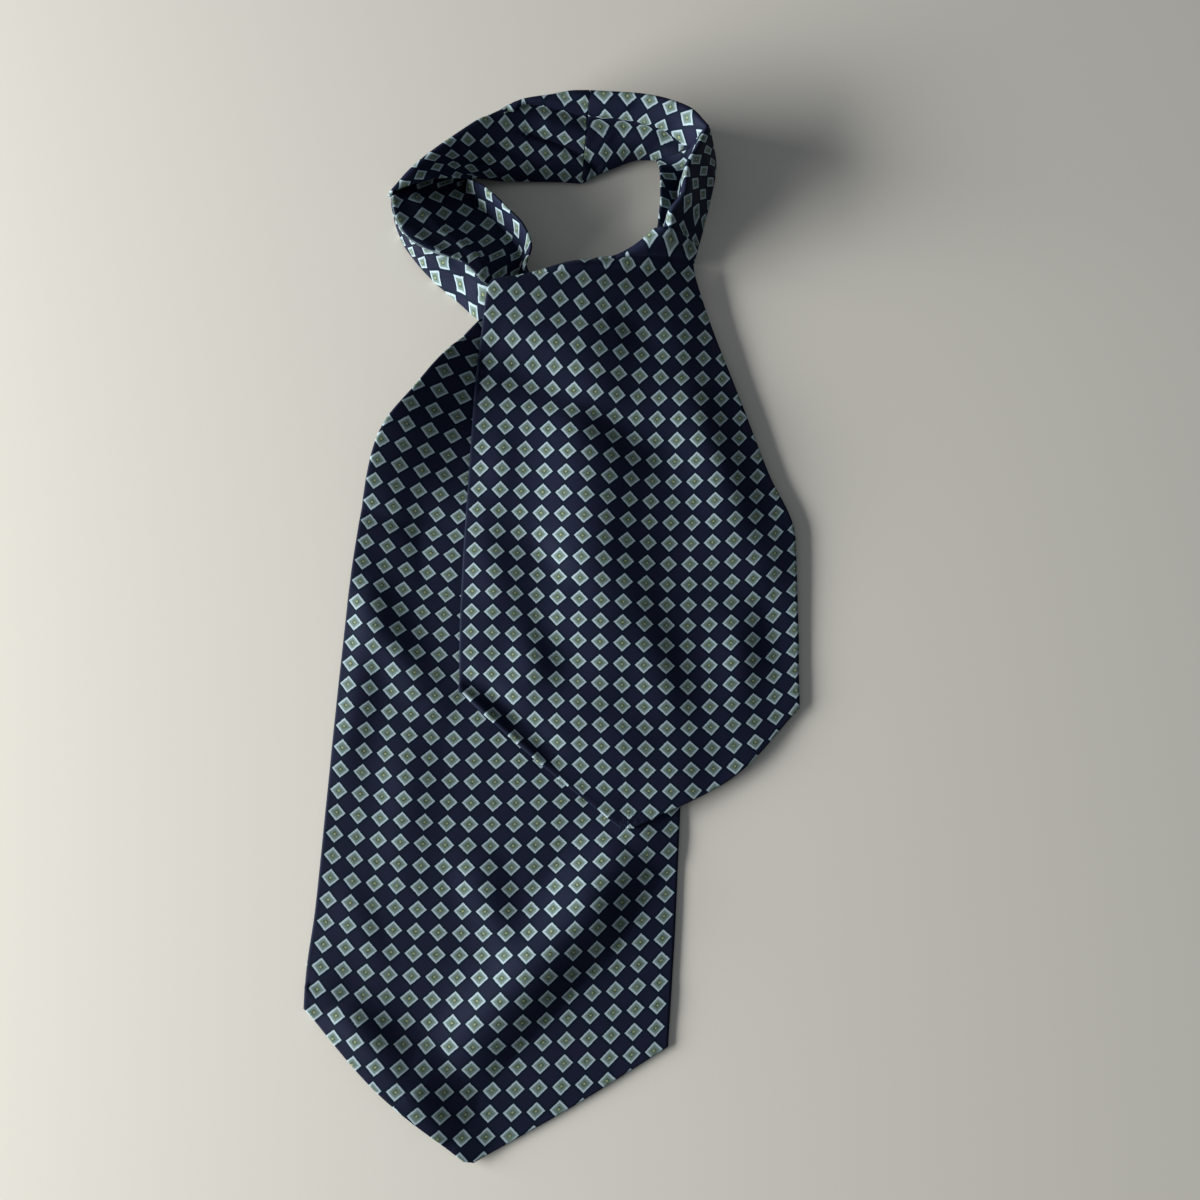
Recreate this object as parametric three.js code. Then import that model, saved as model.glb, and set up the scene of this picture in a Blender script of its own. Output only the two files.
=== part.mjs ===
// A day cravat of doubled silk, dropped on a flat surface. Its neckband stands as a loop at the far end, one pointed
// blade lies on the surface and the other lies over it. Millimetres, +Z up, the surface is z = 0.
import * as THREE from "three";

// ---- driving sizes -----------------------------------------------------------------------------------------------
const CLOTH = 2.0; // doubled silk with its interlining, the wall of every piece
const GAP = 0.3; // clearance at the seams and between layers
const RIDGE_TENSION = 0.45; // how tightly a section turns over its fold, 0 loose to 1 sharp
const FOLD_FLOOR = 0.15; // folds shallower than this lie flat on the surface
const NAVY = { color: 0x20223f, roughness: 0.5, metalness: 0.0 };

const STEPS = {
  pointAlong: 5, // rows over a blade's pointed end
  bladeAlong: 20, // rows from the point's corners to the neck
  bladeAcross: 18,
  neckAlong: 4, // rows between two stations of the neckband
  neckAcross: 11,
};

// A table is a list of rows with one name for each column.
const table = (columns, rows) =>
  rows.map((row) => Object.fromEntries(columns.map((c, i) => [c, row[i]])));

// ---- blades: one row per cross-section, from the point to the neck -------------------------------------------------
// left and right are the ends of the section in plan; the lifts are how far its underside is above the surface.
const CORNER_ROW = 2; // the row at the two corners of the point
const BLADE = ["leftX", "leftY", "rightX", "rightY", "leftLift", "midLift", "rightLift"];
const UNDER = table(BLADE, [
  [-37, -229.5, -33, -230, 0, 0, 0],
  [-71, -203.5, 5.5, -209.5, 0, 0, 0],
  [-103, -171.5, 44.5, -186.5, 0, 0, 0],
  [-103, -160.5, 45.5, -173, 0, 0, 0],
  [-100.5, -133, 48, -139, 0, 0, 0],
  [-97.5, -84, 50.5, -94.5, 0, 0, 0],
  [-93, -16, 55, -27, 0, 0, 0],
  [-89.5, 19.5, 56, 9.5, 0, 0, 0],
  [-81, 63.3, 54, 56, 2, 0.2, 0],
  [-76.8, 71.8, 51, 71, 4, 0.5, 0],
  [-63.2, 88.7, 38.5, 94.5, 7, 1.5, 0.3],
  [-49.8, 106.2, 25, 112, 9, 3.5, 1],
  [-36.2, 122.2, 16, 123.5, 9, 4, 2],
]);
const FRONT = table(BLADE, [
  [25.5, -100, 31, -100, 2.5, 2.5, 2.5],
  [-8, -73.5, 73.5, -78.5, 2.8, 2.6, 1.5],
  [-43, -43, 102, -49.5, 3, 2.8, 1],
  [-43, -33, 102, -40, 3, 2.9, 1.5],
  [-43, -10, 102.5, -15.5, 3, 3.2, 2.2],
  [-42, 23, 102.5, 23.5, 3.4, 5, 3],
  [-40.5, 54.5, 91, 55, 4.8, 6.2, 3],
  [-38, 93, 77.5, 94, 9, 8, 3],
  [-35.5, 114.5, 68.5, 119, 13, 11, 3],
  [-33.5, 129, 63, 136.5, 17, 13, 3.2],
  [-31.5, 137.5, 60, 148, 20, 14.5, 3.5],
  [-11.5, 142, 59.5, 152.5, 19.5, 15, 4.5],
  [4, 148.5, 60, 154.5, 16.5, 14.5, 5],
  [19.5, 150, 60.5, 156, 16.5, 15.5, 5.5],
  [31, 154, 61, 158, 19.5, 17.5, 6],
  [41.5, 161, 61.5, 159.5, 24, 19.5, 6.5],
]);

// Soft folds that run along a straight line in plan: a height above zero is a ridge, below zero a trough.
const FOLD = ["fromX", "fromY", "toX", "toY", "halfWidth", "height"];
const UNDER_FOLDS = table(FOLD, [
  [28, -112, -42, -190, 13, 4.2],
  [-88, 6, -57, -40, 9, 2.6],
  [-84, -5, -92, -75, 8, 1.8],
  [-40, -118, -20, -150, 9, 1.6],
  [-78, 68, -48, 110, 13, 5],
]);
const FRONT_FOLDS = table(FOLD, [
  [12, 88, 6, -40, 21, 3.6],
  [-26, 98, 40, 66, 9, -2],
  [50, 96, 82, 18, 11, 2.4],
  [36, -12, 48, -58, 10, 1.8],
]);

// ---- neckband: one row per station round the loop ------------------------------------------------------------------
// in is the edge at the opening, mid the middle of the inner panel, top the fold that stands highest, out the outer edge.
const BAND = ["inX", "inY", "inZ", "midX", "midY", "midZ", "topX", "topY", "topZ", "outX", "outY", "outZ"];
const NECK_LEFT = table(BAND, [
  [-36.5, 201, 6, -45, 198, 2, -67, 189.5, 14, -72, 188.5, 0],
  [-42, 192.5, 9, -49, 189, 2.5, -74, 177.5, 19.5, -76.5, 176.5, 0],
  [-34, 182, 17, -42, 179, 3, -72.5, 166, 20, -73.5, 167.5, 0],
  [-25.5, 172, 21, -33.5, 170.5, 4, -66.5, 156.5, 18.5, -67.5, 157.5, 0],
  [-17, 163, 20, -26, 161, 4.5, -55.5, 151.5, 19.5, -59.5, 147.5, 0],
  [-13.5, 155.5, 16, -22.5, 152.5, 4, -43, 146, 19, -47.5, 136, 0],
  [-16, 148.5, 11, -21, 145.5, 3, -32.5, 137, 16, -37, 127, 0],
  [-13, 143.5, 8, -19, 140, 3, -27.5, 135, 12, -31, 125, 0],
]);
const NECK_BACK_LEFT = table(BAND, [
  [-42, 190.5, 14.5, -58.5, 184, 23.5, -74.5, 177, 25.5, -77, 176, 22.5],
  [-39, 193, 9, -53.5, 192, 22, -66, 187, 27, -79.5, 190.5, 0],
  [-28, 195, 3, -40, 199.5, 17, -50, 201, 27, -55, 202, 0],
  [-6.5, 195.5, 1.5, -11.5, 208.5, 15, -16.5, 221.5, 26, -18.5, 226.5, 0],
  [8.5, 194.5, 1.5, 10.5, 210.5, 13.5, 12.5, 226, 25, 13, 231, 0],
]);
const NECK_BACK_RIGHT = table(BAND, [
  [8.5, 194.5, 1.5, 10.5, 210.5, 13.5, 12.5, 226, 25, 13, 231, 0],
  [20.5, 200.5, 2.5, 28.5, 213.5, 15, 35, 224, 26, 37.5, 228.5, 0],
  [35.5, 206, 2.5, 47, 211.5, 17, 57, 216.5, 27, 61.5, 219, 0],
  [43, 206, 1.5, 55, 204.5, 18, 65, 206.5, 28.5, 71, 207, 0],
]);
const NECK_RIGHT = table(BAND, [
  [43, 206, 1.5, 55, 204.5, 18, 65, 206.5, 28.5, 71, 207, 0],
  [45, 200.5, 1.5, 52.5, 198.5, 17, 60, 196.5, 30, 70.5, 199.5, 0],
  [45.5, 192.5, 1.5, 50, 187.5, 18, 55, 186, 30, 68.5, 189, 0],
  [45.5, 185, 1.5, 50, 179.5, 17, 54, 175, 29, 66, 178.5, 0],
  [43.5, 175.5, 1.5, 46, 172.5, 12, 48.5, 168, 22.5, 63, 166, 0],
  [42.5, 163, 1.5, 45, 161, 8, 49.5, 158, 13.5, 60, 155, 0],
]);
const FRONT_TURN = table(BAND, [
  [-7, 147, 0, -6.5, 146, 6.5, -6, 143, 12.5, -5, 133, 10],
  [9, 151.5, 0, 9, 150.5, 6, 9, 147.5, 11.2, 10, 137, 9],
  [24, 154.5, 0, 24, 153, 6, 24, 150, 11, 24, 139, 9],
  [37, 159, 0, 36, 157, 6, 34.5, 154, 10.5, 33, 143, 7],
]);
// Lengthwise pleats of the neckband, given along (0 to 1 by station) and across (0 in, 1 out) the strip.
const PLEAT = ["fromAlong", "fromAcross", "toAlong", "toAcross", "halfWidth", "height"];
const BACK_LEFT_PLEATS = table(PLEAT, [[0.72, 0.6, 1, 0.53, 0.05, -1.3]]);
const BACK_RIGHT_PLEATS = table(PLEAT, [[0, 0.53, 0.85, 0.46, 0.05, -1.5]]);

// ---- curves ----------------------------------------------------------------------------------------------------------
// Shape-keeping cubic through values ys at places xs: no wiggle between the rows of a table.
function smooth(xs, ys) {
  const n = xs.length;
  const h = xs.slice(1).map((x, i) => x - xs[i]);
  const d = h.map((w, i) => (ys[i + 1] - ys[i]) / w);
  const m = ys.map((_, i) => {
    if (i === 0) return d[0];
    if (i === n - 1) return d[n - 2];
    if (d[i - 1] * d[i] <= 0) return 0;
    const a = 2 * h[i] + h[i - 1];
    const b = h[i] + 2 * h[i - 1];
    return (a + b) / (a / d[i - 1] + b / d[i]);
  });
  return (x) => {
    let i = 0;
    while (i < n - 2 && x > xs[i + 1]) i++;
    const t = (x - xs[i]) / h[i];
    const u = 1 - t;
    return (
      ys[i] * (1 + 2 * t) * u * u + h[i] * m[i] * t * u * u +
      ys[i + 1] * t * t * (3 - 2 * t) - h[i] * m[i + 1] * t * t * u
    );
  };
}
const columnsOf = (rows, at) =>
  Object.fromEntries(Object.keys(rows[0]).map((c) => [c, smooth(at, rows.map((r) => r[c]))]));
const lerp = THREE.MathUtils.lerp;

// Places of the rows along a piece, by the mean distance between neighbouring rows' points.
function spacing(rows, points) {
  const at = [0];
  for (let i = 1; i < rows.length; i++) {
    const step = points.map(([x, y]) => Math.hypot(rows[i][x] - rows[i - 1][x], rows[i][y] - rows[i - 1][y]));
    at.push(at[i - 1] + step.reduce((a, b) => a + b) / step.length);
  }
  return at;
}

// Height that a list of folds adds at a point of its plane.
function foldHeight(folds, x, y, [x0, y0, x1, y1] = ["fromX", "fromY", "toX", "toY"]) {
  return folds.reduce((sum, f) => {
    const dx = f[x1] - f[x0];
    const dy = f[y1] - f[y0];
    const along = THREE.MathUtils.clamp(((x - f[x0]) * dx + (y - f[y0]) * dy) / (dx * dx + dy * dy), 0, 1);
    const away = Math.hypot(x - f[x0] - along * dx, y - f[y0] - along * dy) / f.halfWidth;
    return sum + f.height * Math.exp(-away * away);
  }, 0);
}

// ---- walls -----------------------------------------------------------------------------------------------------------
// A closed wall between two grids of points, low[i][j] and high[i][j], with the rim round it.
function wall(low, high) {
  const rows = low.length;
  const cols = low[0].length;
  const points = [...low.flat(), ...high.flat()];
  const at = (side, i, j) => side * rows * cols + i * cols + j;
  const index = [];
  const quad = (a, b, c, d) => index.push(a, b, c, a, c, d);
  for (let i = 0; i + 1 < rows; i++)
    for (let j = 0; j + 1 < cols; j++) {
      quad(at(1, i, j), at(1, i, j + 1), at(1, i + 1, j + 1), at(1, i + 1, j));
      quad(at(0, i, j), at(0, i + 1, j), at(0, i + 1, j + 1), at(0, i, j + 1));
    }
  for (let j = 0; j + 1 < cols; j++) {
    quad(at(0, 0, j), at(0, 0, j + 1), at(1, 0, j + 1), at(1, 0, j));
    quad(at(0, rows - 1, j + 1), at(0, rows - 1, j), at(1, rows - 1, j), at(1, rows - 1, j + 1));
  }
  for (let i = 0; i + 1 < rows; i++) {
    quad(at(0, i + 1, 0), at(0, i, 0), at(1, i, 0), at(1, i + 1, 0));
    quad(at(0, i, cols - 1), at(0, i + 1, cols - 1), at(1, i + 1, cols - 1), at(1, i, cols - 1));
  }
  const geometry = new THREE.BufferGeometry().setFromPoints(points);
  geometry.setIndex(index);
  return geometry;
}

// A blade: sections ruled from its left edge to its right, with a clean corner between its point and its sides.
function blade(rows, folds, support) {
  const at = spacing(rows, [["leftX", "leftY"], ["rightX", "rightY"]]);
  const corner = at[CORNER_ROW];
  const point = columnsOf(rows.slice(0, CORNER_ROW + 1), at.slice(0, CORNER_ROW + 1));
  const body = columnsOf(rows.slice(CORNER_ROW), at.slice(CORNER_ROW));
  const value = (c, s) => (s <= corner ? point : body)[c](s);
  const end = at[at.length - 1];
  const places = [];
  for (let i = 0; i < STEPS.pointAlong; i++) places.push((corner * i) / STEPS.pointAlong);
  for (let i = 0; i <= STEPS.bladeAlong; i++) places.push(lerp(corner, end, i / STEPS.bladeAlong));
  const low = places.map((s) =>
    Array.from({ length: STEPS.bladeAcross + 1 }, (_, j) => {
      const t = j / STEPS.bladeAcross;
      const x = lerp(value("leftX", s), value("rightX", s), t);
      const y = lerp(value("leftY", s), value("rightY", s), t);
      const lift =
        value("leftLift", s) * (1 - t) * (1 - 2 * t) + value("midLift", s) * 4 * t * (1 - t) +
        value("rightLift", s) * t * (2 * t - 1);
      const raised = lift + foldHeight(folds, x, y) - FOLD_FLOOR;
      return new THREE.Vector3(x, y, Math.max(raised, support(x, y)));
    }),
  );
  return wall(low, low.map((row) => row.map((p) => p.clone().setZ(p.z + CLOTH))));
}

// Cardinal spline through a section's four points.
function section(points, u) {
  const n = points.length - 1;
  const i = Math.min(Math.floor(u * n), n - 1);
  const t = u * n - i;
  const point = (k) => points[THREE.MathUtils.clamp(k, 0, n)];
  const tangent = (k) =>
    point(k + 1).clone().sub(point(k - 1)).multiplyScalar((1 - RIDGE_TENSION) * (k > 0 && k < n ? 0.5 : 1));
  const s = 1 - t;
  return point(i).clone().multiplyScalar((1 + 2 * t) * s * s)
    .addScaledVector(tangent(i), t * s * s)
    .addScaledVector(point(i + 1), t * t * (3 - 2 * t))
    .addScaledVector(tangent(i + 1), -t * t * s);
}

// A stretch of neckband: its mid-surface follows the stations, and the wall is half its thickness to either side.
function band(rows, { pleats = [], startGap = 0, endGap = 0 } = {}) {
  const at = spacing(rows, [["inX", "inY"], ["topX", "topY"]]);
  const columns = columnsOf(rows, at);
  const end = at[at.length - 1];
  const corners = ["in", "mid", "top", "out"];
  const mid = (along, across) => {
    const s = lerp(startGap, end - endGap, along);
    const points = corners.map(
      (c) => new THREE.Vector3(...["X", "Y", "Z"].map((axis) => columns[c + axis](s))),
    );
    return section(points, across);
  };
  // The wall is offset within its own section, so neighbouring sections never cross and a seam is one clean cut.
  const normal = (along, across) => {
    const e = 0.01;
    const onward = mid(Math.min(along + e, 1), 0.5).sub(mid(Math.max(along - e, 0), 0.5));
    const reach = mid(along, 1).sub(mid(along, 0));
    const ahead = new THREE.Vector3(-reach.y, reach.x, 0).normalize();
    if (ahead.dot(onward) < 0) ahead.negate();
    const slope = mid(along, Math.min(across + e, 1)).sub(mid(along, Math.max(across - e, 0)));
    return slope.cross(ahead).normalize();
  };
  const up = Math.sign(normal(0.5, 0.2).z); // pleats press into or out of the face that looks up
  const nAlong = STEPS.neckAlong * (rows.length - 1);
  const side = (sign) =>
    Array.from({ length: nAlong + 1 }, (_, i) =>
      Array.from({ length: STEPS.neckAcross + 1 }, (_, j) => {
        const along = i / nAlong;
        const across = j / STEPS.neckAcross;
        const n = normal(along, across);
        const press = foldHeight(pleats, along, across, ["fromAlong", "fromAcross", "toAlong", "toAcross"]);
        const p = mid(along, across).addScaledVector(n, sign * (CLOTH / 2) + up * press);
        // An edge that stands on the surface is cut level with it.
        if (mid(along, across).z < CLOTH / 4 && (j === 0 || j === STEPS.neckAcross)) p.z = 0;
        p.z = Math.max(p.z, 0);
        return p;
      }),
    );
  return wall(side(-1), side(1));
}

// ---- the cravat ------------------------------------------------------------------------------------------------------
const cravat = new THREE.Group();
const laid = new THREE.Group(); // the pieces as they lie, moved so that the origin is under the middle of the whole
cravat.add(laid);
function add(name, geometry) {
  const mesh = new THREE.Mesh(geometry, new THREE.MeshStandardMaterial(NAVY));
  mesh.name = name;
  laid.add(mesh);
}

const onSurface = () => 0;
// The upper blade rests on the lower one: its underside is the lower blade's own folds, moved up by the cloth.
const onUnder = (x, y) =>
  Math.max(foldHeight(UNDER_FOLDS, x, y) - FOLD_FLOOR, 0) + CLOTH + 2.4 * GAP - 2.7 * THREE.MathUtils.smoothstep(x, 56, 80);

add("under_blade", blade(UNDER, UNDER_FOLDS, onSurface));
add("front_blade", blade(FRONT, FRONT_FOLDS, onUnder));
add("neck_left", band(NECK_LEFT));
add("neck_back_left", band(NECK_BACK_LEFT, { pleats: BACK_LEFT_PLEATS, endGap: GAP }));
add("neck_back_right", band(NECK_BACK_RIGHT, { pleats: BACK_RIGHT_PLEATS, startGap: GAP, endGap: 2 * GAP }));
add("neck_right", band(NECK_RIGHT, { startGap: 2 * GAP }));
add("front_turn", band(FRONT_TURN));

const middle = new THREE.Box3().setFromObject(laid).getCenter(new THREE.Vector3());
laid.position.set(-middle.x, -middle.y, 0);

export default cravat;
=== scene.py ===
"""A day cravat of doubled silk, dropped on a pale surface: the neckband stands as a loop, one pointed blade lies on the
surface and the other lies over it. Lengths in the tables are millimetres."""

import math

import bpy
import numpy as np
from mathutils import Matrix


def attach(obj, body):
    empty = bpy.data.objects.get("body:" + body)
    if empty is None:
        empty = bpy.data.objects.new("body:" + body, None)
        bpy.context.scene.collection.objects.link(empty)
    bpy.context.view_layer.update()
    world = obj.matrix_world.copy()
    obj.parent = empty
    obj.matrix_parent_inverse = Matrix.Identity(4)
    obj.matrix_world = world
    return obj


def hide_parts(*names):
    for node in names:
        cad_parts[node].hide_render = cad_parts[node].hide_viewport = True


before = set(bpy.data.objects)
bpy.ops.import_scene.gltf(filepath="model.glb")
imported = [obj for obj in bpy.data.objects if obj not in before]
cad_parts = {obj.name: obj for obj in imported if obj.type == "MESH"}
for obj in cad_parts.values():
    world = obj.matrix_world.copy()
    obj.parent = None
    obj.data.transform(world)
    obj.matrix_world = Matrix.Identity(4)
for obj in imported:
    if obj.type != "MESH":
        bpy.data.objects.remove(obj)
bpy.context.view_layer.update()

MM = 0.001
ORIGIN = np.array([0.25, -0.966, 0.0])  # from the tables' frame to the part's own origin
SILK = 1.5  # thickness of the doubled silk that shows
RIM = np.array([0.0, 0.1, 0.3, 0.6, 1.0, 1.6, 2.4])  # places of the rows that round a folded edge
EDGE_ROUND = 1.0  # how far in from an edge the cloth reaches its full thickness
SEAM_ROUND = 0.25  # the same where two stretches are sewn together
CLEAR = 0.12  # between two layers that lie on each other
RIDGE_TENSION = 0.45


def table(columns, rows):
    names = columns.split()
    return [dict(zip(names, row)) for row in rows]


# ---- blades, one row per cross-section from the point to the neck ----------------------------------------------------
CORNER_ROW = 2
BLADE = "leftX leftY rightX rightY leftLift midLift rightLift"
UNDER = table(BLADE, [
    [-37, -229.5, -33, -230, 0, 0, 0],
    [-71, -203.5, 5.5, -209.5, 0, 0, 0],
    [-103, -171.5, 44.5, -186.5, 0, 0, 0],
    [-103, -160.5, 45.5, -173, 0, 0, 0],
    [-100.5, -133, 48, -139, 0, 0, 0],
    [-97.5, -84, 50.5, -94.5, 0, 0, 0],
    [-93, -16, 55, -27, 0, 0, 0],
    [-89.5, 19.5, 56, 9.5, 0, 0, 0],
    [-81, 63.3, 54, 56, 2, 0.2, 0],
    [-76.8, 71.8, 51, 71, 4, 0.5, 0],
    [-63.2, 88.7, 38.5, 94.5, 7, 1.5, 0.3],
    [-49.8, 106.2, 25, 112, 9, 3.5, 1],
    [-36.2, 122.2, 16, 123.5, 9, 4, 2],
])
FRONT = table(BLADE, [
    [25.5, -100, 31, -100, 2.5, 2.5, 2.5],
    [-8, -73.5, 73.5, -78.5, 2.8, 2.6, 1.5],
    [-43, -43, 102, -49.5, 3, 2.8, 0.4],
    [-43, -33, 102, -40, 3, 2.9, 0.5],
    [-43, -10, 102.5, -15.5, 3, 3.2, 0.7],
    [-42, 23, 102.5, 23.5, 3.4, 5, 1.0],
    [-40.5, 54.5, 91, 55, 4.8, 6.2, 1.4],
    [-38, 93, 77.5, 94, 9, 8, 2.0],
    [-35.5, 114.5, 68.5, 119, 13, 11, 2.6],
    [-33.5, 129, 63, 136.5, 17, 13, 3.2],
    [-31.5, 137.5, 60, 148, 20, 14.5, 3.5],
    [-11.5, 142, 59.5, 152.5, 19.5, 15, 4.5],
    [4, 148.5, 60, 154.5, 16.5, 14.5, 5],
    [19.5, 150, 60.5, 156, 16.5, 15.5, 5.5],
    [31, 154, 61, 158, 19.5, 17.5, 6],
    [41.5, 161, 61.5, 159.5, 24, 19.5, 6.5],
])
FRONT_TOP_ROW = 10  # from this row on, the left ends of the sections run along the folded top edge
TOP_ROLL = {"reach": 6.0, "drop": 3.2}

# Soft creases: a line in plan through three points, its width to the left and right of the way it runs, and its height.
CREASE = "fromX fromY midX midY toX toY leftWidth rightWidth height"
UNDER_CREASES = table(CREASE, [
    [32, -104, -4, -150, -48, -194, 15, 13, 7.0],  # the long diagonal ridge, and the trough below it
    [46, -126, 14, -166, -26, -206, 11, 12, -2.2],
    [-95, -170, -67, -199, -42, -226, 12, 25, 5.5],
    [-97, 36, -77, 86, -54, 124, 13, 31, 14.0],  # the lifted edge beside the neck
    [-88, 8, -74, -20, -54, -46, 10, 9, 3.2],
    [-84, -5, -86, -40, -92, -78, 9, 7, 2.0],
    [-40, -112, -28, -132, -18, -152, 9, 8, 2.0],
    [-90, -172, -74, -182, -56, -190, 6, 7, 1.3],
    [-70, -60, -64, -86, -66, -116, 12, 9, 1.3],
    [14, -128, 22, -150, 24, -172, 8, 10, 0.9],
    [-22, -92, -12, -110, -6, -122, 7, 9, -0.9],
    [-62, 40, -56, 22, -46, 2, 9, 9, -1.6],
    [-92, -120, -80, -140, -72, -160, 7, 8, 0.8],
])
FRONT_CREASES = table(CREASE, [
    [8, 100, 12, 44, 24, -58, 20, 18, 4.8],  # the broad crest down the middle
    [-30, 100, 4, 86, 42, 62, 9, 9, -3.0],
    [50, 100, 66, 62, 86, 12, 11, 13, 3.4],
    [34, -8, 42, -34, 52, -62, 10, 11, 2.0],
    [-36, 34, -30, 4, -32, -22, 8, 10, 1.4],
    [-22, 4, -16, -18, -6, -42, 8, 9, 1.9],
    [70, -8, 76, -28, 74, -50, 8, 9, 1.3],
    [-14, 26, -6, 14, 6, 2, 6, 8, -1.4],
    [-28, 118, -4, 112, 22, 116, 8, 7, 1.2],
    [20, 126, 36, 116, 50, 98, 7, 8, -1.0],
    [-32, 74, -26, 58, -30, 40, 7, 8, 0.9],
    [86, 4, 90, -14, 92, -36, 7, 7, -0.9],
])
# The hem below the front blade's left corner curls up: a lip along the edge with a valley just inside it.
HEM = {"lipAt": 1.3, "lipWidth": 1.4, "lipHeight": 1.2, "valleyAt": 7.5, "valleyWidth": 5.4, "valleyDepth": 2.0, "rise": 1.2}

# ---- neckband, one row per station round the loop ---------------------------------------------------------------------
BAND = "inX inY inZ midX midY midZ topX topY topZ outX outY outZ"
NECK_LEFT = table(BAND, [
    [-36.5, 201, 6, -43, 198.5, 3, -68, 189.5, 15, -72, 188.5, 0],
    [-42, 192.5, 11, -47, 190, 5, -75, 177, 22.5, -77, 176.5, 0],
    [-34, 182, 20, -39, 180, 8, -73.2, 166, 24, -74, 166.5, 0],
    [-25.5, 172, 23, -30.5, 170.8, 9, -66.5, 156, 22.5, -67.5, 156.5, 0],
    [-17, 163, 22, -22.5, 161.5, 9, -55.5, 150.5, 21, -59.5, 147, 0],
    [-13.5, 155.5, 17.5, -19, 153.5, 8, -43, 146, 19.5, -47.5, 136, 0],
    [-16, 148.5, 12, -20, 146, 6, -32.5, 137, 16, -37, 127, 0],
    [-13, 143.5, 8, -18, 140.5, 5, -27.5, 135, 12, -31, 125, 0],
])
NECK_BACK_LEFT = table(BAND, [
    [-42, 190.5, 14.5, -58.5, 184, 23.5, -74.5, 177, 25.5, -77, 176, 22.5],
    [-39, 193, 9, -53.5, 192, 22, -66, 187, 27, -79.5, 190.5, 0],
    [-28, 195, 3, -40, 199.5, 17, -50, 201, 27, -55, 202, 0],
    [-6.5, 195.5, 1.5, -11.5, 208.5, 15, -16.5, 221.5, 26, -18.5, 226.5, 0],
    [8.5, 194.5, 1.5, 10.5, 210.5, 13.5, 12.5, 226, 25, 13, 231, 0],
])
NECK_BACK_RIGHT = table(BAND, [
    [8.5, 194.5, 1.5, 10.5, 210.5, 13.5, 12.5, 226, 25, 13, 231, 0],
    [20.5, 200.5, 2.5, 28.5, 213.5, 15, 35, 224, 26, 37.5, 228.5, 0],
    [35.5, 206, 2.5, 47, 211.5, 17, 57, 216.5, 27, 61.5, 219, 0],
    [43, 205, 4, 58, 204.5, 15, 65, 206.5, 28.5, 71, 207, 0],
])
NECK_RIGHT = table(BAND, [
    [43, 205, 4, 58, 204.5, 15, 65, 206.5, 28.5, 71, 207, 0],
    [44.3, 197.5, 9, 56.5, 197, 7, 60.5, 196.5, 30, 70.5, 199.5, 0],
    [44.5, 189.5, 12, 52.8, 188, 6, 55.5, 186, 30, 68.5, 189, 0],
    [44.5, 182, 12, 51.8, 178.5, 6, 54.2, 175, 29, 66, 178.5, 0],
    [43.8, 175.5, 8, 46.8, 171.5, 6, 48.5, 168, 22.5, 63, 166, 0],
    [42.5, 163, 2.5, 45, 161, 7, 49.5, 158, 13.5, 60, 155, 0],
])
FRONT_TURN = table(BAND, [
    [-11, 146.5, 0, -10.5, 145.5, 6.2, -10, 142.5, 11.5, -9, 133, 9],
    [9, 151.5, 0, 9, 150.5, 6, 9, 147.5, 11.2, 10, 137, 9],
    [24, 154.5, 0, 24, 153, 6, 24, 150, 11, 24, 139, 9],
    [37, 159, 0, 36, 157, 6, 34.5, 154, 10.5, 33, 143, 7],
    [40.5, 161, 0, 39.8, 159, 6, 38.5, 156, 10.5, 37, 145.5, 7],
])
# Pleats and tucks of the strip: along (0 to 1) and across it (0 at the opening, 1 outside), widths to either side.
PLEAT = "fromAlong fromAcross toAlong toAcross inWidth outWidth height"
NECK_LEFT_PLEATS = table(PLEAT, [
    [0.20, 0.50, 0.85, 0.52, 0.9, 4.0, 1.3],
    [0.30, 0.74, 0.75, 0.86, 2.5, 3.0, -0.7],
    [0.45, 0.66, 0.95, 0.78, 2.0, 2.5, 0.6],
])
BACK_LEFT_PLEATS = table(PLEAT, [
    [0.58, 0.61, 1.0, 0.45, 4.5, 0.8, -3.0],
    [0.67, 0.34, 1.0, 0.17, 1.0, 4.0, -1.8],
    [0.80, 0.40, 1.0, 0.34, 3.0, 3.0, 1.0],
    [0.46, 0.30, 0.70, 0.10, 2.2, 3.0, -0.9],
    [0.30, 0.44, 0.52, 0.30, 2.5, 3.5, -0.8],
    [0.20, 0.24, 0.40, 0.16, 2.0, 3.0, -0.7],
    [0.86, 0.64, 1.0, 0.56, 2.0, 2.5, 0.8],
])
BACK_RIGHT_PLEATS = table(PLEAT, [
    [0.0, 0.45, 0.95, 0.27, 4.5, 0.8, -3.0],
    [0.0, 0.17, 0.16, 0.05, 1.0, 4.0, -1.6],
    [0.0, 0.34, 0.22, 0.28, 3.0, 3.0, 0.9],
    [0.10, 0.30, 0.60, 0.16, 2.5, 3.0, -0.7],
    [0.0, 0.56, 0.30, 0.50, 2.0, 2.5, 0.7],
])

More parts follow.
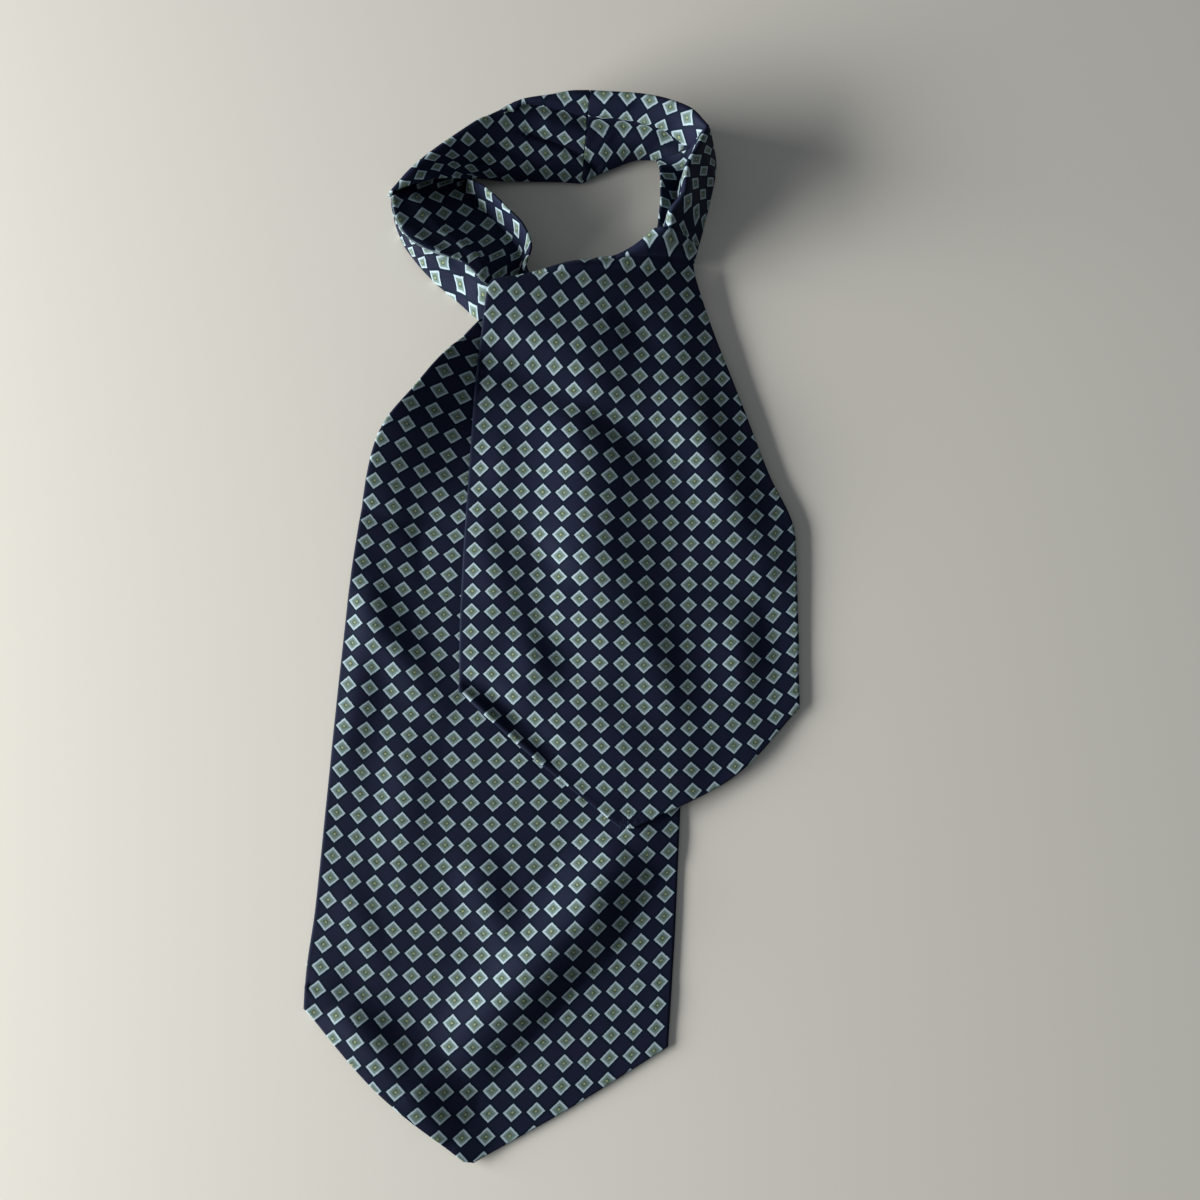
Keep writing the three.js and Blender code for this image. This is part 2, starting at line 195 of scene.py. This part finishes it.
# ---- the woven repeat: place of a point in columns and rows of diamonds ------------------------------------------------
# A power of the scaled place across and along the blade, and what it adds to the column and the row.
GRAIN = "acrossPower alongPower column row"
UNDER_GRAIN = {"centre": (-25, -60), "scale": (75, 150), "terms": table(GRAIN, [
    [0, 0, 0.058, -12.476], [1, 0, 7.868, -0.062], [0, 1, -1.058, -17.083], [2, 0, -0.083, 0.785],
    [1, 1, -0.428, -0.457], [0, 2, -0.624, -0.031], [3, 0, 0.098, 0.024], [2, 1, -0.308, 0.067],
    [1, 2, -0.249, -0.127], [0, 3, -0.69, -0.121],
])}
FRONT_GRAIN = {"centre": (30, 30), "scale": (75, 100), "terms": table(GRAIN, [
    [0, 0, 1.08, 0.997], [1, 0, 7.983, -0.534], [0, 1, -0.777, -10.918], [2, 0, 0.082, 0.747],
    [1, 1, -0.07, -0.062], [0, 2, -0.335, 0.442], [3, 0, 0.117, 0.662], [2, 1, 0.209, -0.1],
    [1, 2, 0.057, -0.012], [0, 3, 0.224, 0.108],
])}
# The same for the strips of the neckband, from places along and across the strip; a pleat or a fold starts a new chart.
BACK_LEFT_GRAIN = {"centre": (45, 21), "scale": (10, 10), "terms": table(GRAIN, [
    [0, 0, -1.605, 1.289], [1, 0, 1.145, 0.456], [0, 1, -0.444, 0.913],
    [2, 0, 0.0, -0.039], [1, 1, 0.162, 0.11], [0, 2, 0.005, -0.015],
])}
BACK_RIGHT_GRAIN = {"centre": (28, 13), "scale": (10, 10), "terms": table(GRAIN, [
    [0, 0, 1.781, 0.517], [1, 0, 1.03, 0.184], [0, 1, 0.491, 0.869],
])}
BACK_RIGHT_TOP_GRAIN = {"centre": (22, 30), "scale": (10, 10), "terms": table(GRAIN, [
    [0, 0, 1.811, 2.583], [1, 0, 1.191, 0.211], [0, 1, 0.286, 1.023],
])}
LEFT_WALL_GRAIN = {"centre": (51, 58), "scale": (10, 10), "terms": table(GRAIN, [
    [0, 0, 0.836, 0.416], [1, 0, 1.45, 0.105], [0, 1, 0.22, 0.65],
])}
LEFT_TROUGH_GRAIN = {"centre": (27, 21), "scale": (10, 10), "terms": table(GRAIN, [
    [0, 0, 0.981, 1.112], [1, 0, 0.988, 0.693], [0, 1, 0.003, -0.95],
])}
RIGHT_GRAIN = {"centre": (27, 38), "scale": (10, 10), "terms": table(GRAIN, [
    [0, 0, 1.408, -0.198], [1, 0, -1.256, 0.702], [0, 1, 0.031, 0.847],
])}
TURN_GRAIN = {"centre": (0, 0), "scale": (9.2, 9.2), "terms": table(GRAIN, [[1, 0, 1, 0], [0, 1, 0, 1]])}


# ---- curves --------------------------------------------------------------------------------------------------------------
def smooth(xs, ys):
    """Shape-keeping cubic through values ys at places xs."""
    xs, ys = np.asarray(xs, float), np.asarray(ys, float)
    h = np.diff(xs)
    d = np.diff(ys) / h
    m = np.zeros_like(ys)
    m[0], m[-1] = d[0], d[-1]
    for i in range(1, len(xs) - 1):
        if d[i - 1] * d[i] > 0:
            a, b = 2 * h[i] + h[i - 1], h[i] + 2 * h[i - 1]
            m[i] = (a + b) / (a / d[i - 1] + b / d[i])

    def value(x):
        x = np.asarray(x, float)
        i = np.clip(np.searchsorted(xs, x, side="right") - 1, 0, len(xs) - 2)
        t = (x - xs[i]) / h[i]
        u = 1 - t
        return (ys[i] * (1 + 2 * t) * u * u + h[i] * m[i] * t * u * u
                + ys[i + 1] * t * t * (3 - 2 * t) - h[i] * m[i + 1] * t * t * u)

    return value


def columns_of(rows, at):
    return {c: smooth(at, [r[c] for r in rows]) for c in rows[0]}


def spacing(rows, points):
    at = [0.0]
    for a, b in zip(rows, rows[1:]):
        at.append(at[-1] + float(np.mean([math.hypot(b[x] - a[x], b[y] - a[y]) for x, y in points])))
    return at


def step(x, low, high):
    t = np.clip((x - low) / (high - low), 0, 1)
    return t * t * (3 - 2 * t)


def places(length, pitch, rim_start=True, rim_end=True):
    """Places along a length, a pitch apart, and closer together at an end that is rounded."""
    first = RIM[-1] if rim_start else 0.0
    last = length - (RIM[-1] if rim_end else 0.0)
    inner = np.linspace(first, last, max(3, int(round((last - first) / pitch)) + 1))
    head = RIM[:-1] if rim_start else []
    tail = (length - RIM[:-1])[::-1] if rim_end else []
    return np.concatenate([head, inner, tail])


def near_line(x, y, px, py):
    """Distance of points to a line of points, the side they lie on and the share of the line where they are nearest."""
    best = np.full(x.shape, 1e12)
    side = np.zeros(x.shape)
    share = np.zeros(x.shape)
    count = len(px) - 1
    for i in range(count):
        dx, dy = px[i + 1] - px[i], py[i + 1] - py[i]
        w = np.clip(((x - px[i]) * dx + (y - py[i]) * dy) / (dx * dx + dy * dy + 1e-12), 0, 1)
        ex, ey = x - px[i] - w * dx, y - py[i] - w * dy
        d2 = ex * ex + ey * ey
        near = d2 < best
        best = np.where(near, d2, best)
        side = np.where(near, dx * ey - dy * ex, side)
        share = np.where(near, (i + w) / count, share)
    return np.sqrt(best), side, share


def crease_height(creases, x, y):
    total = np.zeros(x.shape)
    u = np.linspace(0, 1, 19)
    for c in creases:
        bendx = 2 * c["midX"] - (c["fromX"] + c["toX"]) / 2
        bendy = 2 * c["midY"] - (c["fromY"] + c["toY"]) / 2
        px = (1 - u) ** 2 * c["fromX"] + 2 * u * (1 - u) * bendx + u * u * c["toX"]
        py = (1 - u) ** 2 * c["fromY"] + 2 * u * (1 - u) * bendy + u * u * c["toY"]
        away, side, share = near_line(x, y, px, py)
        width = np.where(side > 0, c["leftWidth"], c["rightWidth"])
        fade = np.sqrt(np.sin(math.pi * np.clip(share, 0.04, 0.96)))
        total += c["height"] * fade * np.exp(-(away / width) ** 2)
    return total


def ripple(x, y, seed, length, height):
    """A slight unevenness of the cloth: a few crossing waves of about the given length."""
    rng = np.random.default_rng(seed)
    total = np.zeros(np.shape(x))
    for _ in range(9):
        turn, phase = rng.uniform(0, 2 * math.pi, 2)
        wave = 2 * math.pi / (length * rng.uniform(0.7, 1.6))
        total += np.sin(wave * (x * math.cos(turn) + y * math.sin(turn)) + phase)
    return height * total / 3


def grain(chart, x, y):
    across = (x - chart["centre"][0]) / chart["scale"][0]
    along = (y - chart["centre"][1]) / chart["scale"][1]
    column, row = np.zeros(np.shape(x)), np.zeros(np.shape(x))
    for t in chart["terms"]:
        power = across ** t["acrossPower"] * along ** t["alongPower"]
        column, row = column + t["column"] * power, row + t["row"] * power
    return np.stack([column, row], -1)


# ---- shells ----------------------------------------------------------------------------------------------------------------
def normals(grid):
    along, across = np.gradient(grid, axis=0), np.gradient(grid, axis=1)
    n = np.cross(across, along)
    return n / np.maximum(np.linalg.norm(n, axis=-1, keepdims=True), 1e-9)


def edge_rise(grid, end_rounds):
    """0 at an edge to 1 where the cloth has its full thickness; the two ends may be rounded less, as at a seam."""
    across = np.linalg.norm(np.diff(grid, axis=1), axis=-1)
    run = np.concatenate([np.zeros((grid.shape[0], 1)), np.cumsum(across, 1)], 1)
    from_sides = np.minimum(run, run[:, -1:] - run)
    along = np.linalg.norm(np.diff(grid, axis=0), axis=-1)
    run = np.concatenate([np.zeros((1, grid.shape[1])), np.cumsum(along, 0)], 0)
    from_ends = np.minimum(run / end_rounds[0], (run[-1:] - run) / end_rounds[1])
    return np.clip(np.minimum(from_sides / EDGE_ROUND, from_ends), 0, 1)


def shell(name, grid, lattice, thickness=SILK, floor=0.02, end_rounds=(EDGE_ROUND, EDGE_ROUND)):
    """A thin closed shell on a grid of mid-surface points, with round edges; lattice is each point's place in the weave."""
    ni, nj = grid.shape[:2]
    rise = edge_rise(grid, end_rounds)
    half = thickness / 2 * np.sqrt(1 - (1 - rise) ** 2)
    n = normals(grid)
    high = grid + n * half[..., None]
    low = grid - n * half[..., None]
    for side in (high, low):
        side[..., 2] = np.maximum(side[..., 2], floor)
    top = np.arange(ni * nj).reshape(ni, nj)
    under = top.copy()
    under[1:-1, 1:-1] = ni * nj + np.arange((ni - 2) * (nj - 2)).reshape(ni - 2, nj - 2)
    verts = np.concatenate([high.reshape(-1, 3), low[1:-1, 1:-1].reshape(-1, 3)]) + ORIGIN
    places_in_weave = np.concatenate([lattice.reshape(-1, 2), lattice[1:-1, 1:-1].reshape(-1, 2)])

    def quads(index, flip):
        a, b, c, d = index[:-1, :-1], index[:-1, 1:], index[1:, 1:], index[1:, :-1]
        q = np.stack([a, b, c, d] if not flip else [a, d, c, b], -1)
        return q.reshape(-1, 4)

    faces = np.concatenate([quads(top, False), quads(under, True)])
    mesh = bpy.data.meshes.new(name)
    mesh.from_pydata((verts * MM).tolist(), [], faces.tolist())
    mesh.polygons.foreach_set("use_smooth", [True] * len(mesh.polygons))
    uv = mesh.uv_layers.new(name="weave")
    uv.data.foreach_set("uv", places_in_weave[faces.ravel()].astype(np.float32).ravel())
    mesh.validate()
    mesh.update()
    obj = bpy.data.objects.new(name, mesh)
    bpy.context.scene.collection.objects.link(obj)
    return obj


def blade_places(rows, pitch_along, pitch_across):
    """Plan and lift of a blade on a grid: sections ruled from its left edge to its right, with a clean corner at its point."""
    at = spacing(rows, [("leftX", "leftY"), ("rightX", "rightY")])
    corner, end = at[CORNER_ROW], at[-1]
    point = columns_of(rows[: CORNER_ROW + 1], at[: CORNER_ROW + 1])
    body = columns_of(rows[CORNER_ROW:], at[CORNER_ROW:])
    s = np.concatenate([places(corner, pitch_along, True, False)[:-1],
                        corner + places(end - corner, pitch_along, False, True)])
    value = lambda c: np.where(s <= corner, point[c](np.minimum(s, corner)), body[c](np.maximum(s, corner)))[:, None]
    width = 148.0
    t = (places(width, pitch_across) / width)[None, :]
    x = value("leftX") * (1 - t) + value("rightX") * t
    y = value("leftY") * (1 - t) + value("rightY") * t
    lift = (value("leftLift") * (1 - t) * (1 - 2 * t) + value("midLift") * 4 * t * (1 - t)
            + value("rightLift") * t * (2 * t - 1))
    return s, at, x, y, lift


def top_of(grid, thickness):
    """Height of a laid piece's upper face over the plan, as a function of plan places."""
    cell = 1.0
    x0, y0 = grid[..., 0].min() - 5, grid[..., 1].min() - 5
    nx = int((grid[..., 0].max() - x0 + 5) / cell) + 2
    ny = int((grid[..., 1].max() - y0 + 5) / cell) + 2
    z = np.full((nx, ny), -1.0)
    ix = np.round((grid[..., 0] - x0) / cell).astype(int).ravel()
    iy = np.round((grid[..., 1] - y0) / cell).astype(int).ravel()
    np.maximum.at(z, (ix, iy), (grid[..., 2] + thickness / 2).ravel())
    for _ in range(3):
        pad = np.pad(z, 1, constant_values=-1.0)
        around = np.max([pad[1 + i:nx + 1 + i, 1 + j:ny + 1 + j] for i in (-1, 0, 1) for j in (-1, 0, 1)], axis=0)
        z = np.where(z < 0, around, z)
    for _ in range(2):
        pad = np.pad(z, 1, mode="edge")
        around = np.mean([pad[1 + i:nx + 1 + i, 1 + j:ny + 1 + j] for i in (-1, 0, 1) for j in (-1, 0, 1)], axis=0)
        z = np.maximum(z, around)

    def height(x, y):
        i = np.clip(np.round((x - x0) / cell).astype(int), 0, nx - 1)
        j = np.clip(np.round((y - y0) / cell).astype(int), 0, ny - 1)
        inside = (x >= x0) & (y >= y0) & (x <= x0 + (nx - 1) * cell) & (y <= y0 + (ny - 1) * cell)
        return np.where(inside, z[i, j], -1.0)

    return height


def band_grid(rows, pitch, pleats=(), start_gap=0.0, end_gap=0.0, tension=RIDGE_TENSION):
    """Mid-surface of a stretch of neckband, with how far each point is along the stretch and across it."""
    at = spacing(rows, [("inX", "inY"), ("topX", "topY")])
    cols = columns_of(rows, at)
    s = start_gap + places(at[-1] - start_gap - end_gap, pitch)
    corners = ["in", "mid", "top", "out"]
    pts = np.stack([np.stack([cols[c + axis](s) for axis in "XYZ"], -1) for c in corners], 1)
    length = np.linalg.norm(np.diff(pts, axis=1), axis=-1).sum(1).mean()
    u = places(length, pitch) / length
    k = np.minimum((u * 3).astype(int), 2)
    t = (u * 3 - k)[None, :, None]
    slope = np.empty_like(pts)
    slope[:, 1:3] = (1 - tension) * 0.5 * (pts[:, 2:] - pts[:, :-2])
    slope[:, 0] = (1 - tension) * (pts[:, 1] - pts[:, 0])
    slope[:, 3] = (1 - tension) * (pts[:, 3] - pts[:, 2])
    v = 1 - t
    grid = (pts[:, k] * (1 + 2 * t) * v * v + slope[:, k] * t * v * v
            + pts[:, k + 1] * t * t * (3 - 2 * t) - slope[:, k + 1] * t * t * v)
    run = np.linalg.norm(np.diff(grid, axis=1), axis=-1)
    across = np.concatenate([np.zeros((len(s), 1)), np.cumsum(run, 1)], 1)
    along = np.repeat(s[:, None], len(u), 1)
    n = normals(grid)
    n = n * np.sign(n[len(s) // 2, len(u) // 5, 2])
    for p in pleats:
        total, reach = at[-1], across[:, -1].mean()
        px = np.array([p["fromAlong"], p["toAlong"]]) * total
        py = np.array([p["fromAcross"], p["toAcross"]]) * reach
        share_across = across / across[:, -1:] * reach
        away, side, share = near_line(along, share_across, px, py)
        width = np.where(side < 0, p["inWidth"], p["outWidth"])
        fade = np.ones_like(share)
        grid = grid + n * (p["height"] * fade * np.exp(-(away / width) ** 2))[..., None]
    return grid, along, across


# ---- silk --------------------------------------------------------------------------------------------------------------------
def silk_material():
    mat = bpy.data.materials.new("silk_neat")
    mat.use_nodes = True
    tree = mat.node_tree
    tree.nodes.clear()
    link = tree.links.new

    def node(kind, **props):
        n = tree.nodes.new(kind)
        for k, v in props.items():
            setattr(n, k, v)
        return n

    def put(socket, value):
        if hasattr(value, "is_output"):
            link(value, socket)
        else:
            socket.default_value = value

    def calc(op, a, b=None, c=None):
        n = node("ShaderNodeMath", operation=op)
        for socket, value in zip(n.inputs, (a, b, c)):
            if value is not None:
                put(socket, value)
        return n.outputs[0]

    def ramp(value, low, high, to_low=0.0, to_high=1.0):
        n = node("ShaderNodeMapRange", interpolation_type="SMOOTHSTEP")
        for socket, v in zip(n.inputs, (value, low, high, to_low, to_high)):
            put(socket, v)
        return n.outputs[0]

    def mix(factor, a, b):
        n = node("ShaderNodeMix", data_type="RGBA")
        put(n.inputs[0], factor)
        put(n.inputs[6], a)
        put(n.inputs[7], b)
        return n.outputs[2]

    def noise(vector, scale, detail=2.0, rough=0.5):
        n = node("ShaderNodeTexNoise", noise_dimensions="2D")
        put(n.inputs["Vector"], vector)
        n.inputs["Scale"].default_value = scale
        n.inputs["Detail"].default_value = detail
        n.inputs["Roughness"].default_value = rough
        return n

    uv = node("ShaderNodeUVMap", uv_map="weave").outputs[0]
    wobble = noise(uv, 9.0, 2.0)
    offset = node("ShaderNodeVectorMath", operation="SUBTRACT")
    link(wobble.outputs["Color"], offset.inputs[0])
    offset.inputs[1].default_value = (0.5, 0.5, 0.5)
    moved = node("ShaderNodeVectorMath", operation="MULTIPLY_ADD")
    link(offset.outputs[0], moved.inputs[0])
    moved.inputs[1].default_value = (0.035, 0.035, 0.0)
    link(uv, moved.inputs[2])
    parts = node("ShaderNodeSeparateXYZ")
    link(moved.outputs[0], parts.inputs[0])

    def from_centre(value):
        return calc("ABSOLUTE", calc("SUBTRACT", calc("FRACT", calc("ADD", value, 0.5)), 0.5))

    m = calc("ADD", from_centre(parts.outputs[0]), from_centre(parts.outputs[1]))
    motif = ramp(m, 0.380, 0.420, 1.0, 0.0)
    inner = ramp(m, 0.250, 0.335, 1.0, 0.0)
    heart = ramp(m, 0.105, 0.200, 1.0, 0.0)
    dot = ramp(m, 0.030, 0.085, 1.0, 0.0)
    around = ramp(m, 0.420, 0.640, 0.0, 1.0)

    # twill: fine ribs on the bias, broken a little by the threads
    plain = node("ShaderNodeSeparateXYZ")
    link(uv, plain.inputs[0])
    thread = noise(uv, 40.0, 1.0).outputs["Fac"]
    bias = calc("ADD", calc("MULTIPLY", plain.outputs[0], 13.0), calc("MULTIPLY", plain.outputs[1], 13.0))
    rib = calc("SINE", calc("MULTIPLY", calc("ADD", bias, calc("MULTIPLY", thread, 0.7)), 2 * math.pi))
    rib01 = calc("MULTIPLY_ADD", rib, 0.5, 0.5)
    patch = noise(uv, 0.55, 3.0).outputs["Fac"]

    ground = mix(rib01, (0.0053, 0.0074, 0.0180, 1), (0.0086, 0.0100, 0.0258, 1))
    ground = mix(ramp(patch, 0.35, 0.7, 0.0, 0.5), ground, (0.0112, 0.0108, 0.0295, 1))
    ground = mix(around, (0.0018, 0.0056, 0.0140, 1), ground)
    border = mix(rib01, (0.262, 0.345, 0.392, 1), (0.312, 0.400, 0.447, 1))
    sage = mix(rib01, (0.104, 0.148, 0.134, 1), (0.127, 0.174, 0.156, 1))
    fleck = ramp(noise(uv, 7.0, 2.0).outputs["Fac"], 0.32, 0.62, 0.35, 1.0)
    sage = mix(calc("MULTIPLY", heart, fleck), sage, (0.040, 0.068, 0.044, 1))
    sage = mix(dot, sage, (0.250, 0.280, 0.145, 1))
    colour = mix(motif, ground, mix(inner, border, sage))

    bsdf = node("ShaderNodeBsdfPrincipled")
    link(colour, bsdf.inputs["Base Color"])
    bsdf.inputs["Specular IOR Level"].default_value = 0.07
    bsdf.inputs["Specular Tint"].default_value = (0.62, 0.85, 1.0, 1)
    bsdf.inputs["Sheen Weight"].default_value = 0.02
    bsdf.inputs["Sheen Roughness"].default_value = 0.35
    bsdf.inputs["Sheen Tint"].default_value = (0.75, 0.80, 1.0, 1)
    gloss = calc("ADD", calc("MULTIPLY", motif, -0.06), calc("MULTIPLY_ADD", patch, 0.10, 0.56))
    link(gloss, bsdf.inputs["Roughness"])
    height = calc("ADD", calc("MULTIPLY", rib, 0.5), calc("MULTIPLY", motif, 0.8))
    height = calc("ADD", height, calc("MULTIPLY", thread, 0.8))
    bump = node("ShaderNodeBump")
    bump.inputs["Strength"].default_value = 0.25
    bump.inputs["Distance"].default_value = 0.00006
    link(height, bump.inputs["Height"])
    link(bump.outputs[0], bsdf.inputs["Normal"])
    out = node("ShaderNodeOutputMaterial")
    link(bsdf.outputs[0], out.inputs[0])
    return mat


def floor_material():
    mat = bpy.data.materials.new("pale_floor")
    mat.use_nodes = True
    tree = mat.node_tree
    bsdf = tree.nodes["Principled BSDF"]
    bsdf.inputs["Base Color"].default_value = (0.58, 0.563, 0.510, 1)
    bsdf.inputs["Roughness"].default_value = 0.9
    bsdf.inputs["Specular IOR Level"].default_value = 0.15
    return mat


# ---- the pieces --------------------------------------------------------------------------------------------------------------
s, at, x, y, lift = blade_places(UNDER, 1.6, 1.5)
raised = lift + crease_height(UNDER_CREASES, x, y) + ripple(x, y, 3, 34, 0.16)
z = np.maximum(raised - 0.1, 0) + SILK / 2 + 0.02
under_grid = np.stack([x, y, z], -1)
under_blade = shell("under_blade_silk", under_grid,
                    grain(UNDER_GRAIN, x + ORIGIN[0], y + ORIGIN[1]))
under_top = top_of(under_grid, SILK)

s, at, x, y, lift = blade_places(FRONT, 1.5, 1.45)
raised = lift + crease_height(FRONT_CREASES, x, y) + ripple(x, y, 8, 32, 0.18) + 0.5
last_left = s >= at[FRONT_TOP_ROW]
reach, _, _ = near_line(x, y, x[last_left, 0], y[last_left, 0])
raised -= TOP_ROLL["drop"] * (1 - np.minimum(reach / TOP_ROLL["reach"], 1)) ** 2
point = s <= at[CORNER_ROW] + 1e-6
inward, _, share = near_line(x, y, x[point, 0], y[point, 0])
strong = (0.10 + 0.90 * step(share, 0.36, 0.78)) * (1 - step(inward, 26, 44)) * (1 + 0.3 * np.sin(23 * share + 1.0))
raised += strong * (HEM["rise"] + HEM["lipHeight"] * np.exp(-((inward - HEM["lipAt"]) / HEM["lipWidth"]) ** 2)
                    - HEM["valleyDepth"] * np.exp(-((inward - HEM["valleyAt"]) / HEM["valleyWidth"]) ** 2))
z = np.maximum(raised, under_top(x, y) + CLEAR) + SILK / 2
front_grid = np.stack([x, y, z], -1)
front_blade = shell("front_blade_silk", front_grid,
                    grain(FRONT_GRAIN, x + ORIGIN[0], y + ORIGIN[1]))

grid, along, across = band_grid(NECK_LEFT, 0.9, NECK_LEFT_PLEATS, tension=0.8)
outside = (np.linspace(0, 1, across.shape[1]) > 0.655)[None, :, None]
neck_left = shell("neck_left_silk", grid,
                  np.where(outside, grain(LEFT_WALL_GRAIN, along, across), grain(LEFT_TROUGH_GRAIN, along, across)))
grid, along, across = band_grid(NECK_BACK_LEFT, 0.9, BACK_LEFT_PLEATS, 0, 0.02)
neck_back_left = shell("neck_back_left_silk", grid, grain(BACK_LEFT_GRAIN, along, across), end_rounds=(EDGE_ROUND, SEAM_ROUND))
grid, along, across = band_grid(NECK_BACK_RIGHT, 0.9, BACK_RIGHT_PLEATS, 0.02, 0.02)
first = BACK_RIGHT_PLEATS[0]
pleat_at = first["fromAcross"] + (first["toAcross"] - first["fromAcross"]) * along / (along.max() * first["toAlong"])
over = step(across / across[:, -1:] - pleat_at, -0.03, 0.015)[..., None]
neck_back_right = shell("neck_back_right_silk", grid,
                        grain(BACK_RIGHT_TOP_GRAIN, along, across) * over + grain(BACK_RIGHT_GRAIN, along, across) * (1 - over),
                        end_rounds=(SEAM_ROUND, SEAM_ROUND))
grid, along, across = band_grid(NECK_RIGHT, 0.9, (), 0.02, 0)
neck_right = shell("neck_right_silk", grid, grain(RIGHT_GRAIN, along, across), end_rounds=(SEAM_ROUND, EDGE_ROUND))
grid, along, across = band_grid(FRONT_TURN, 0.9)
front_turn = shell("front_turn_silk", grid, grain(TURN_GRAIN, along, across))

silk = silk_material()
CUT = [
    (under_blade, "under_blade", (0.150, 0.360), 0.0460, "laid", []),
    (front_blade, "front_blade", (0.150, 0.270), 0.0302, "laid", ["under_blade_silk", "front_turn_silk"]),
    (neck_left, "neck_left", (0.082, 0.075), 0.0044, "folded", []),
    (neck_back_left, "neck_back_left", (0.060, 0.100), 0.0046, "folded", []),
    (neck_back_right, "neck_back_right", (0.060, 0.070), 0.0028, "folded", []),
    (neck_right, "neck_right", (0.060, 0.060), 0.0027, "folded", []),
    (front_turn, "front_turn", (0.030, 0.055), 0.00115, "folded", []),
]
for piece, node_name, flat, area, held, rests_on in CUT:
    piece.data.materials.append(silk)
    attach(piece, "root")
    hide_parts(node_name)

# ---- floor, light and camera ---------------------------------------------------------------------------------------------------
floor_mesh = bpy.data.meshes.new("floor")
floor_mesh.from_pydata([(-6, -6, 0), (6, -6, 0), (6, 6, 0), (-6, 6, 0)], [], [(0, 1, 2, 3)])
floor = bpy.data.objects.new("floor", floor_mesh)
floor.data.materials.append(floor_material())
bpy.context.scene.collection.objects.link(floor)


def soft_light(name, place, aim, size, power, colour):
    data = bpy.data.lights.new(name, "AREA")
    data.shape = "RECTANGLE"
    data.size, data.size_y = size
    data.energy = power
    data.color = colour
    obj = bpy.data.objects.new(name, data)
    bpy.context.scene.collection.objects.link(obj)
    away = np.array(place) - np.array(aim)
    flat = math.hypot(away[0], away[1])
    obj.location = place
    obj.rotation_euler = (math.atan2(flat, away[2]), 0, math.atan2(away[1], away[0]) + math.pi / 2)
    return obj


soft_light("window", (-1.48, -0.2, 0.38), (0, 0, 0), (1.4, 0.56), 85, (1.0, 0.99, 0.975))
world = bpy.data.worlds.new("studio")
world.use_nodes = True
world.node_tree.nodes["Background"].inputs["Color"].default_value = (0.86, 0.92, 1.0, 1)
world.node_tree.nodes["Background"].inputs["Strength"].default_value = 0.21
bpy.context.scene.world = world
bpy.context.scene.view_settings.view_transform = "Standard"

camera_data = bpy.data.cameras.new("camera")
camera_data.lens, camera_data.sensor_width = 36, 36
camera = bpy.data.objects.new("camera", camera_data)
camera.location = (0.01725, -0.10525, 0.51096)
camera.rotation_euler = (math.radians(11.266), 0, 0)
bpy.context.scene.collection.objects.link(camera)
bpy.context.scene.camera = camera
